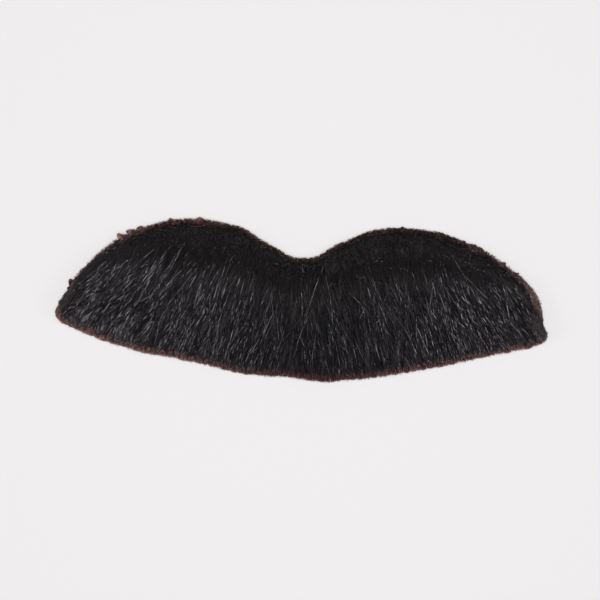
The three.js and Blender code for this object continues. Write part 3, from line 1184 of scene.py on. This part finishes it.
    def upright(self) -> bpy.types.Object:
        """Grows the upright hair towards the crown, seen end on from above."""
        form, rng, count = self.form, self.rng, UPRIGHT.count
        x, y = self._scatter(count)
        up = 1 - rng.random(count) ** 1.1 * np.clip(1.2 - form.at(x, "lying"), 0.12, 0.55)
        hem, crown = form.hem(x), form.crown(x)
        rim = form.rim(x)
        y = hem + up * (crown - rim - hem)
        z = form.top(x, y) + rng.uniform(-0.25, 0.3, count) * MM
        lean = form.lean(x, y) + rng.normal(0, math.radians(UPRIGHT.lean_spread), count)
        lay = math.radians(UPRIGHT.lay) + rng.normal(0, self.upright_lay_spread, count)
        rise = np.full(count, math.radians(UPRIGHT.rise))
        shortest, longest = UPRIGHT.length
        length = np.clip(z - form.pile_bottom, shortest * MM, longest * MM)
        radius = rng.uniform(*UPRIGHT.radius, count) * MM
        # Specks are painted glints on the end-on hair.
        specks = self._columns(rng.random(count), SPECK_MIX)
        # The rest of the crown hair takes the tint painted lighter against shade.
        columns = np.where(rng.random(count) < self.speck_share, specks, self._coal_painted_lighter(x, y))
        depth = (crown - y - rim) / self.maroon_depth
        maroon_share = self.maroon_share * (1 - depth) * (rim > self.least_maroon_rim)
        maroon = rng.random(count) < maroon_share
        columns = np.where(maroon, rng.uniform(*MAROON_COLUMNS, count), columns)
        tips = np.stack([x, y, z], 1)
        return self._piece(
            "crown_hair", UPRIGHT, tips, lean, lay, rise, length, radius, columns
        )

    def stray(self) -> bpy.types.Object:
        """Grows the loose hairs that cross the others, some long and some short."""
        form, rng, count = self.form, self.rng, LONG_STRAY.count
        x, y = self._scatter(count)
        up = 0.04 + form.up(x, y) * (form.at(x, "lying") - 0.1)
        y = form.hem(x) + up * (form.crown(x) - form.hem(x))
        z = form.top(x, y) + rng.uniform(0.25, 0.7, count) * MM
        long = rng.random(count) < self.long_share
        spread = np.where(long, LONG_STRAY.lean_spread, SHORT_STRAY_SPREAD)
        lean = form.lean(x, y) + rng.normal(0, 1, count) * math.radians(1) * spread
        lay = rng.uniform(LEAST_STRAY_LAY, LONG_STRAY.lay, count) * math.radians(1)
        rise = np.full(count, math.radians(LONG_STRAY.rise))
        length = rng.uniform(*LONG_STRAY.length, count)
        length = np.where(long, length, rng.uniform(*SHORT_STRAY_LENGTH, count)) * MM
        radius = rng.uniform(*LONG_STRAY.radius, count) * MM
        # Strays mostly take paler tints as painted highlights.
        share = rng.random(count) ** (0.4 + 0.6 * form.at(x, "shine"))
        columns = self._columns(np.minimum(share, NEARLY_ONE), STRAY_MIX)
        tips = np.stack([x, y, z], 1)
        return self._piece(
            "stray_hair", LONG_STRAY, tips, lean, lay, rise, length, radius, columns
        )

    def _piece(self, name: str, hair: Hair, tips: np.ndarray, *ways: np.ndarray) -> bpy.types.Object:
        """Grows one piece of the coat from its strands' tips and the rest of their measures."""
        bend = self.rng.normal(0, math.radians(hair.bend_spread), len(tips))
        strands = self.grow(tips, *ways, bend, hair.blunt)
        piece = add_piece(name, strands.to_mesh(name))
        piece.data.materials.append(self.finish)
        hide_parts(Node.FUR.value)
        return piece

    def build(self) -> None:
        """Grows the whole coat."""
        for side in Side:
            self.lying(side)
        self.hem()
        self.upright()
        self.stray()


@dataclass(frozen=True)
class BedFinish(Finish):
    """The dark mass of fibres under the strands that show, coloured lighter than the strands as
    painted light against the shade deep in the pile.
    """

    name: str = "dense_underfur"
    roughness: float = 0.9
    specular: float = 0.1
    # Both colours are lighter than the strands, as painted light against deep shade; the darker one
    # is painted shade in the streaks' grooves.
    deep: Colour = (0.020, 0.0182, 0.0192)
    raised_painted_light: Colour = (0.040, 0.0365, 0.0385)
    streak_scale: tuple[float, float, float] = (5200.0, 420.0, 420.0)
    detail: float = 2.0
    relief: float = 0.1 * MM

    def build(self) -> bpy.types.Material:
        """Makes the material, with fine streaks down the pile, painted darker in their grooves and
        lighter on their ridges as painted shade and light.

        Returns:
            The material.
        """
        material, tree, shader = self.start()
        streaks = place_group(
            tree,
            grain_group(),
            {"Scale": self.streak_scale, "Detail": self.detail, "Relief": self.relief},
        )
        colour = ramp(tree, streaks.outputs["Mask"], ((0.35, self.deep), (0.7, self.raised_painted_light)))
        tree.links.new(colour, shader.inputs["Base Color"])
        tree.links.new(streaks.outputs["Normal"], shader.inputs["Normal"])
        return material


@dataclass
class Bed:
    """The dense body of the pile, a domed mesh under the strands."""

    form: Form
    finish: bpy.types.Material
    across: int = 120
    deep: int = 30
    share: float = 0.72
    crown_lift: float = 0.14
    lift_from: float = 0.6
    lift_over: float = 0.25
    crown_steepness: float = 1.6
    sunk: float = 0.2 * MM
    end_inset: float = 1.6 * MM
    hem_inset: float = 2.4 * MM
    crown_inset: float = 1.3 * MM

    def build(self) -> bpy.types.Object:
        """Shapes the bed from a grid, and closes it underneath.

        Returns:
            The piece.
        """
        piece, across, up = crowded_grid("underfur_bed", self.across, self.deep)
        mesh = piece.data
        x = across * (self.form.half_span - self.end_inset)
        hem = self.form.hem(x)
        crown = self.form.crown(x)
        hem_y = hem + np.minimum(self.hem_inset, (crown - hem) / 4)
        y = hem_y + (crown - self.crown_inset - hem_y) * up
        rounded = np.minimum(1.0, 4 * np.minimum(up, self.crown_steepness * (1 - up))) ** 0.5
        lifted = np.clip((up - self.lift_from) / self.lift_over, 0, 1)
        share = self.share + self.crown_lift * lifted
        z = self.form.pile_bottom + self.form.rise(x, y) * share * (0.5 + 0.5 * rounded)
        mesh.vertices.foreach_set("co", np.stack([x, y, z], 1).ravel())
        keep_only_in_hand(piece)
        bpy.ops.object.mode_set(mode="EDIT")
        bpy.ops.mesh.select_all(action="SELECT")
        bpy.ops.mesh.extrude_region_move()
        lowest = self.form.pile_bottom - self.sunk
        bpy.ops.transform.resize(value=(1, 1, 0), center_override=(0, 0, lowest))
        bpy.ops.mesh.select_all(action="SELECT")
        bpy.ops.mesh.normals_make_consistent(inside=False)
        bpy.ops.object.mode_set(mode="OBJECT")
        bpy.ops.object.shade_smooth_by_angle(angle=CREASE_ANGLE)
        mesh.materials.append(self.finish)
        settle(piece)
        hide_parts(Node.FUR.value)
        return piece


@dataclass(frozen=True)
class PaperFinish(Finish):
    """Smooth cream release paper over the adhesive."""

    name: str = "release_paper_cream"
    roughness: float = 0.45
    specular: float = 0.4
    shaded: Colour = (0.66, 0.61, 0.52)
    cream: Colour = (0.8, 0.77, 0.69)
    fibre_scale: float = 900.0
    detail: float = 6.0
    relief: float = 0.03 * MM

    def build(self) -> bpy.types.Material:
        """Makes the material, with faint fibres and a slight unevenness.

        Returns:
            The material.
        """
        material, tree, shader = self.start()
        fibres = place_group(
            tree,
            grain_group(),
            {"Scale": (self.fibre_scale,) * 3, "Detail": self.detail, "Relief": self.relief},
        )
        colour = ramp(tree, fibres.outputs["Mask"], ((0.3, self.shaded), (0.7, self.cream)))
        tree.links.new(colour, shader.inputs["Base Color"])
        tree.links.new(fibres.outputs["Normal"], shader.inputs["Normal"])
        return material


@dataclass(frozen=True)
class YarnFinish(Finish):
    """Matt brown yarn, unevenly dyed."""

    name: str = "brown_knit"
    roughness: float = 0.92
    specular: float = 0.15
    sheen: float = 0.15
    deep: Colour = (0.020, 0.0078, 0.0070)
    worn: Colour = (0.095, 0.038, 0.033)
    dye_scale: float = 700.0
    dye_detail: float = 5.0
    twist_scale: float = 900.0
    twist_unevenness: float = 3.0
    twist_relief: float = 0.06 * MM

    def build(self) -> bpy.types.Material:
        """Makes the material, with uneven dye and fine twisted fibres.

        Returns:
            The material.
        """
        material, tree, shader = self.start()
        dye = place_group(
            tree, grain_group(), {"Scale": (self.dye_scale,) * 3, "Detail": self.dye_detail}
        )
        colour = ramp(tree, dye.outputs["Mask"], ((0.36, self.deep), (0.66, self.worn)))
        tree.links.new(colour, shader.inputs["Base Color"])
        twist = place_group(
            tree,
            twist_group(),
            {
                "Scale": self.twist_scale,
                "Unevenness": self.twist_unevenness,
                "Relief": self.twist_relief,
            },
        )
        tree.links.new(twist.outputs["Normal"], shader.inputs["Normal"])
        return material


@dataclass
class KnitGround:
    """The knitted ground that the fur grows from, with the yarn loops along its cut edge."""

    form: Form
    ground_finish: bpy.types.Material
    yarn_finish: bpy.types.Material
    fibre_finish: bpy.types.Material
    columns: int = 230
    rows: int = 56
    wale: float = 1.3 * MM
    course: float = 1.0 * MM
    crown_inset: float = 0.45 * MM
    hem_inset: float = 5.0 * MM
    end_inset: float = 2.0 * MM
    thickness: float = 1.0 * MM
    seat: float = 0.1 * MM
    rib: float = 0.07 * MM
    course_share: float = 0.6
    ring_radius: float = 0.5 * MM
    ring_stretch: float = 1.25
    ring_turns: tuple[float, float, float] = (0.9, 0.9, 3.1)
    ring_wobble: float = 0.16
    rings_per_knot: int = 3
    ring_shift: float = 0.35 * MM
    yarn_radius: float = 0.22 * MM
    knot_reach: float = 0.55 * MM
    loop_spacing: float = 1.3 * MM
    patch: float = 0.8 * MM
    patch_rows: int = 6
    fibre_count: int = 4200
    fray_length: tuple[float, float] = (0.6, 1.5)
    fray_radius: tuple[float, float] = (0.045, 0.075)
    fray_turn: float = math.radians(55)
    fray_climb: float = math.radians(25)
    fray_curl: float = math.radians(70)
    worn_share: float = 0.14
    loose_reach: float = 0.3 * MM
    knot_gap: float = 0.8 * MM
    dark_share: float = 0.12
    rng: np.random.Generator = field(default_factory=lambda: np.random.default_rng(SEED + 1))

    def ground(self) -> tuple[bpy.types.Object, float]:
        """Shapes the knitted sheet from a grid.

        Returns:
            The piece, and the sheet's flat area in square metres.
        """
        _, pad_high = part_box(Node.PAD.value)
        piece, across, up = crowded_grid("knit_ground", self.columns, self.rows)
        mesh = piece.data
        x = across * (self.form.half_span - self.end_inset)
        bottom = self.form.hem(x) + self.hem_inset
        top = self.form.crown(x) - self.crown_inset
        y = bottom + (top - bottom) * up
        wales = np.abs(np.cos(math.pi * x / self.wale))
        courses = np.cos(2 * math.pi * (y / self.course + 0.5 * wales))
        middle = (pad_high[2] + self.form.pile_bottom) / 2 - self.seat
        z = middle + self.rib * (wales + self.course_share * courses)
        mesh.vertices.foreach_set("co", np.stack([x, y, z], 1).ravel())
        along = np.linspace(-1, 1, 4001) * (self.form.half_span - self.end_inset)
        deep = self.form.crown(along) - self.crown_inset - self.form.hem(along) - self.hem_inset
        area = float(np.sum((deep[1:] + deep[:-1]) / 2 * np.diff(along)))
        wall = piece.modifiers.new("wall", "SOLIDIFY")
        wall.thickness = self.thickness
        wall.offset = 0.0
        apply_modifiers(piece)
        bpy.ops.object.shade_smooth_by_angle(angle=CREASE_ANGLE)
        mesh.materials.append(self.ground_finish)
        settle(piece)
        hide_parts(Node.CLOTH.value)
        return piece, area

    def _one_ring(self) -> tuple[np.ndarray, np.ndarray]:
        """Models one loop of yarn and returns its points and triangles."""
        deselect_all()
        bpy.ops.mesh.primitive_torus_add(
            major_segments=14,
            minor_segments=6,
            major_radius=self.ring_radius,
            minor_radius=self.yarn_radius,
        )
        ring = bpy.context.active_object
        bpy.ops.object.mode_set(mode="EDIT")
        bpy.ops.mesh.select_all(action="SELECT")
        bpy.ops.transform.resize(value=(1.0, self.ring_stretch, 1.0))
        bpy.ops.mesh.quads_convert_to_tris()
        bpy.ops.object.mode_set(mode="OBJECT")
        mesh = ring.data
        points = np.array([vertex.co for vertex in mesh.vertices])
        triangles = np.array([polygon.vertices for polygon in mesh.polygons])
        bpy.data.objects.remove(ring)
        bpy.data.meshes.remove(mesh)
        return points, triangles

    def _stamp(
        self, name: str, places: np.ndarray, sizes: np.ndarray, finish: bpy.types.Material
    ) -> bpy.types.Object:
        """Copies the loop of yarn to each place, turned and bent at random, as one piece."""
        points, triangles = self._one_ring()
        all_points = []
        all_triangles = []
        for place, size in zip(places, sizes):
            turn = Euler(self.rng.uniform(-1, 1, 3) * np.array(self.ring_turns)).to_matrix()
            wave = np.sin(points @ self.rng.normal(0, 3.5 / MM / 2, 3))
            wobble = 1 + self.ring_wobble * wave
            shaped = (points * wobble[:, None] * size) @ np.array(turn).T + place
            all_triangles.append(triangles + len(points) * len(all_points))
            all_points.append(shaped)
        mesh = mesh_from_arrays(name, np.concatenate(all_points), np.concatenate(all_triangles))
        piece = add_piece(name, mesh)
        mesh.materials.append(finish)
        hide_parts(Node.CLOTH.value)
        return piece

    def knots(self, name: str, pale: bool, finish: bpy.types.Material) -> bpy.types.Object:
        """Makes the larger knots of yarn, which stand out further on the left side.

        Args:
            name: The piece's name.
            pale: Whether it has the pale knots or the dark ones.
            finish: Their material.

        Returns:
            The piece.
        """
        places = []
        sizes = []
        reach = self.ring_radius * self.ring_stretch + self.yarn_radius
        for knot in (knot for knot in EDGE_KNOTS if knot.pale == pale):
            standing = self.knot_reach if knot.side < 0 else self.knot_reach / 4
            x = knot.side * knot.out * self.form.half_span
            edge = float(self.form.crown(np.array([x]))[0])
            for turn in range(self.rings_per_knot):
                size = knot.size * self.rng.uniform(0.85, 1.15)
                shift = (turn - 1) * self.ring_shift + self.rng.uniform(-0.2, 0.2) * MM
                y = edge + standing - reach * size - (turn > 0) * self.rng.random() * 0.3 * MM
                places.append((x + shift, y, self.rng.uniform(3.0, 4.0) * MM))
                sizes.append(size)
        return self._stamp(name, np.array(places), np.array(sizes), finish)

    def loops(self) -> bpy.types.Object:
        """Makes the small loops of yarn all along the cut edge."""
        x = np.linspace(-0.985, 0.985, 3000) * self.form.half_span
        edge = self.form.crown(x)
        gone = np.concatenate([[0], np.cumsum(np.hypot(np.diff(x), np.diff(edge)))])
        count = int(gone[-1] / self.loop_spacing)
        stops = (np.arange(count) + self.rng.uniform(0.2, 0.8, count)) * self.loop_spacing
        at = np.interp(stops, gone, x)
        calm = self.form.is_calm(at)
        kept = (~calm | (self.rng.random(count) < 0.45)) & ~self.form.is_worn(at)
        at, calm = at[kept], calm[kept]
        count = len(at)
        size = self.rng.uniform(0.45, 0.8, count) * np.where(calm, 0.7, 1.0)
        reach = (self.ring_radius + self.yarn_radius) * size
        y = self.form.crown(at) - reach - self.rng.random(count) * 0.3 * MM
        z = (self.rng.uniform(1.5, 2.6, count) - calm * 0.4) * MM
        return self._stamp("edge_loops", np.stack([at, y, z], 1), size, self.ground_finish)

    def fray(self) -> bpy.types.Object:
        """Makes the loose brown fibres along the cut edge."""
        form, rng, count = self.form, self.rng, self.fibre_count
        places = (1.0, 0.5, 0.08, 0.0)
        at_worn_end = rng.random(count) < self.worn_share
        x = np.where(at_worn_end, rng.uniform(*form.worn, count), rng.uniform(-0.99, 0.99, count))
        x = x * form.half_span
        worn = form.is_worn(x)
        depth = np.where(worn, 0.25, 0.6)
        y = form.crown(x) - rng.uniform(0.5, 1.0, count) * depth * MM
        y = y - rng.random(count) * form.rim(x) * np.where(worn, 1.3, 1.1)
        sunk = np.where(form.is_calm(x), 0.9, 0.3) * MM
        z = np.maximum(rng.uniform(1.4, 3.4, count) * MM, form.top(x, y)) - sunk
        heading = math.pi / 2 + rng.normal(0, self.fray_turn, count)
        climb = rng.normal(0, self.fray_climb, count)
        curl = rng.normal(0, self.fray_curl, count)
        length = rng.uniform(*self.fray_length, count) * MM
        points = np.empty((count, len(places), 3))
        points[:, 0] = np.stack([x, y, z], 1)
        for ring in range(1, len(places)):
            step = (places[ring - 1] - places[ring]) * length
            way = heading + curl * (1 - places[ring])
            along = np.stack(
                [np.cos(way) * np.cos(climb), np.sin(way) * np.cos(climb), np.sin(climb)], axis=1
            )
            points[:, ring] = points[:, ring - 1] + along * step[:, None]
        over = points[:, :, 1] - form.crown(points[:, :, 0])
        reach = self.loose_reach * rng.random(count) * np.minimum(form.at(x, "wear"), 1.0)
        kept = (over.max(axis=1) < reach) & (np.abs(points[:, :, 0]).max(axis=1) < form.half_span)
        for knot in (knot for knot in EDGE_KNOTS if knot.pale):
            away = np.abs(x - knot.side * knot.out * form.half_span) / knot.size
            kept &= (away > self.knot_gap) | (rng.random(count) < 0.3)
        radius = rng.uniform(*self.fray_radius, count)[kept, None] * MM * np.array([0.9, 1, 0.8, 1])
        low, high = Tint.BROWN.value
        column = ((x + form.half_span) / self.patch).astype(int)
        row = np.clip((form.crown(x) - y) / self.patch, 0, self.patch_rows - 1).astype(int)
        patches = rng.uniform(0.4, 1.6, (column.max() + 1, self.patch_rows))
        wear = form.at(x, "wear")
        pale = rng.random(count) ** (1 / (wear * patches[column, row]))
        columns = low + COLUMN_MARGIN + pale * (high - low) * np.where(worn, 0.7, 0.65)
        dark = rng.random(count) < self.dark_share
        columns = np.where(dark, rng.uniform(0.01, 0.4, count), columns)[kept]
        strands = Strands(points[kept], radius, columns, places)
        piece = add_piece("frayed_edge", strands.to_mesh("frayed_edge"))
        piece.data.materials.append(self.fibre_finish)
        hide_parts(Node.CLOTH.value)
        return piece

    def build(self) -> None:
        """Builds the ground and all that hangs on its edge."""
        ground, area = self.ground()
        trimmings = [
            self.knots("pale_knots", True, self.yarn_finish),
            self.knots("dark_knots", False, self.ground_finish),
            self.loops(),
            self.fray(),
        ]


@dataclass
class Studio:
    """A plain pale floor, soft lights and the camera straight above, as in the photograph."""

    lens: float = 150.0
    sensor: float = 36.0
    sight_height: float = 3.0 * MM
    floor_colour: Colour = (0.874, 0.857, 0.866)
    surround_strength: float = 0.06
    top_power: float = 8.42
    side_power: float = 0.6

    def camera(self) -> bpy.types.Object:
        """Adds the camera at the photograph's scale, place and tilt."""
        data = bpy.data.cameras.new("camera")
        data.lens = self.lens
        data.sensor_width = self.sensor
        frame = PHOTO_PIXELS * MM_PER_PIXEL * MM
        away = frame * self.lens / self.sensor
        right = (PHOTO_PIXELS / 2 - ORIGIN_PIXEL[0]) * MM_PER_PIXEL * MM
        upwards = (ORIGIN_PIXEL[1] - PHOTO_PIXELS / 2) * MM_PER_PIXEL * MM
        cos, sin = math.cos(PHOTO_TILT), math.sin(PHOTO_TILT)
        camera = bpy.data.objects.new("camera", data)
        camera.location = (
            right * cos - upwards * sin,
            right * sin + upwards * cos,
            self.sight_height + away,
        )
        camera.rotation_euler = (0.0, 0.0, PHOTO_TILT)
        data.clip_end = 10.0
        bpy.context.scene.collection.objects.link(camera)
        bpy.context.scene.camera = camera
        return camera

    def light(
        self, name: str, place: tuple[float, float, float], size: float, power: float
    ) -> bpy.types.Object:
        """Adds a soft square light that faces the moustache.

        Args:
            name: Its name.
            place: Where it hangs, in metres.
            size: Its side, in metres.
            power: Its power, in watts.

        Returns:
            The light.
        """
        data = bpy.data.lights.new(name, "AREA")
        data.size = size
        data.energy = power
        light = bpy.data.objects.new(name, data)
        light.location = place
        light.rotation_euler = (-Vector(place)).to_track_quat("-Z", "Y").to_euler()
        bpy.context.scene.collection.objects.link(light)
        return light

    def floor(self) -> bpy.types.Object:
        """Adds the pale floor that the moustache lies on."""
        deselect_all()
        bpy.ops.mesh.primitive_plane_add(size=6.0, location=(0.0, 0.0, 0.0))
        floor = bpy.context.active_object
        floor.name = "floor"
        material, _, shader = Finish("pale_floor", roughness=0.9, specular=0.1).start()
        shader.inputs["Base Color"].default_value = (*self.floor_colour, 1.0)
        floor.data.materials.append(material)
        return floor

    def build(self) -> None:
        """Sets up the floor, the lights, the surroundings and the camera."""
        scene = bpy.context.scene
        world = bpy.data.worlds.new("surroundings")
        world.use_nodes = True
        background = world.node_tree.nodes["Background"]
        background.inputs["Color"].default_value = (1.0, 1.0, 1.0, 1.0)
        background.inputs["Strength"].default_value = self.surround_strength
        scene.world = world
        scene.view_settings.view_transform = "Standard"
        self.floor()
        self.light("top_light", (0.0, 0.0, 1.0), 0.2, self.top_power)
        self.light("left_light", (-0.5, 0.0, 0.85), 0.3, self.side_power)
        self.light("right_light", (0.5, 0.0, 0.85), 0.3, self.side_power)
        self.camera()


def dress_nodes(frame: dict) -> None:
    """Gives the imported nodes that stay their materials."""
    packed = frame["nodes"][Node.PAD.value]
    packed.data.materials.clear()
    packed.data.materials.append(PaperFinish().build())


def main() -> None:
    """Builds the moustache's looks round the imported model."""
    logging.basicConfig(level=logging.INFO, format="%(name)s: %(message)s")
    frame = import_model()
    form = Form.from_frame()
    Studio().build()
    dress_nodes(frame)
    fibre = HairFinish().build()
    yarn = YarnFinish(
        name="brown_yarn", deep=(0.055, 0.021, 0.017), worn=(0.42, 0.20, 0.165), dye_scale=900.0
    )
    KnitGround(form, YarnFinish().build(), yarn.build(), fibre).build()
    Bed(form, BedFinish().build()).build()
    Coat(form, fibre).build()


if __name__ == "__main__":
    main()
